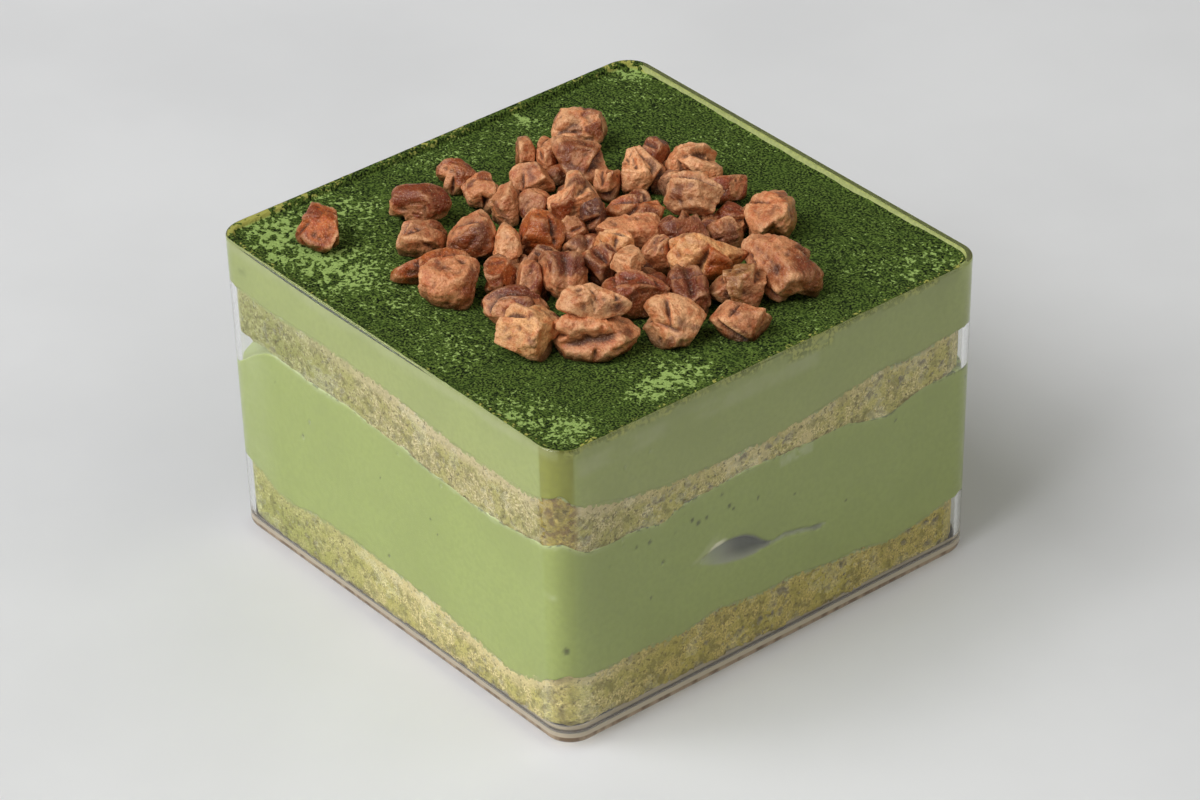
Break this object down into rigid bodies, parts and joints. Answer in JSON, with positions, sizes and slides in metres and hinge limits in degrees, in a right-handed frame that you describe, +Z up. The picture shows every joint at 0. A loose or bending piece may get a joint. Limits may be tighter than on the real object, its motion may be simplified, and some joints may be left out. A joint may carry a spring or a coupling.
{
  "type": "layered cream cake in a clear square box",
  "caption": "Square layered cream cake in an open clear plastic box, with sponge and cream bands at its sides, green powder on top and a heap of chopped nuts.",
  "frame": {"origin": "middle of the box's footprint, at the underside of its foot ring", "axes": "+Z up out of the box; +X and +Y along its sides; -Y is the side that faces front left in the picture and +X the side that faces front right"},
  "size_m": [0.085, 0.085, 0.0648],
  "materials": {
    "clear_plastic": "clear and glossy",
    "sponge": "porous, matte crumb",
    "cream": "smooth green tea cream, soft sheen",
    "top_cream": "smooth pale green cream, soft sheen",
    "powder": "fine dry green powder",
    "nut_flesh": "rough broken nut",
    "nut_skin": "brown nut skin, slight sheen"
  },
  "bodies": {
    "root": {"clear_box": "clear_plastic", "lower_sponge": "sponge", "middle_cream": "cream", "upper_sponge": "sponge", "top_cream": "top_cream", "green_powder": "powder", "nut_01": "nut_skin", "nut_02": "nut_skin", "nut_03": "nut_skin", "nut_04": "nut_flesh", "nut_05": "nut_flesh", "nut_06": "nut_skin", "nut_07": "nut_flesh", "nut_08": "nut_flesh", "nut_09": "nut_flesh", "nut_10": "nut_flesh", "nut_11": "nut_skin", "nut_12": "nut_flesh", "nut_13": "nut_flesh", "nut_14": "nut_skin", "nut_15": "nut_flesh", "nut_16": "nut_flesh", "nut_17": "nut_flesh", "nut_18": "nut_skin", "nut_19": "nut_flesh", "nut_20": "nut_skin", "nut_21": "nut_flesh", "nut_22": "nut_flesh", "nut_23": "nut_flesh", "nut_24": "nut_flesh", "nut_25": "nut_flesh", "nut_26": "nut_flesh", "nut_27": "nut_skin", "nut_28": "nut_flesh", "nut_29": "nut_skin", "nut_30": "nut_flesh", "nut_31": "nut_flesh", "nut_32": "nut_skin", "nut_33": "nut_skin", "nut_34": "nut_flesh", "nut_35": "nut_flesh", "nut_36": "nut_skin", "nut_37": "nut_flesh", "nut_38": "nut_skin", "nut_39": "nut_flesh", "nut_40": "nut_skin", "nut_41": "nut_skin", "nut_42": "nut_skin", "nut_43": "nut_flesh", "nut_44": "nut_skin", "nut_45": "nut_skin", "nut_46": "nut_flesh", "nut_47": "nut_skin", "nut_48": "nut_flesh", "nut_49": "nut_flesh", "nut_50": "nut_flesh", "nut_51": "nut_flesh", "nut_52": "nut_flesh"}
  },
  "joints": []
}
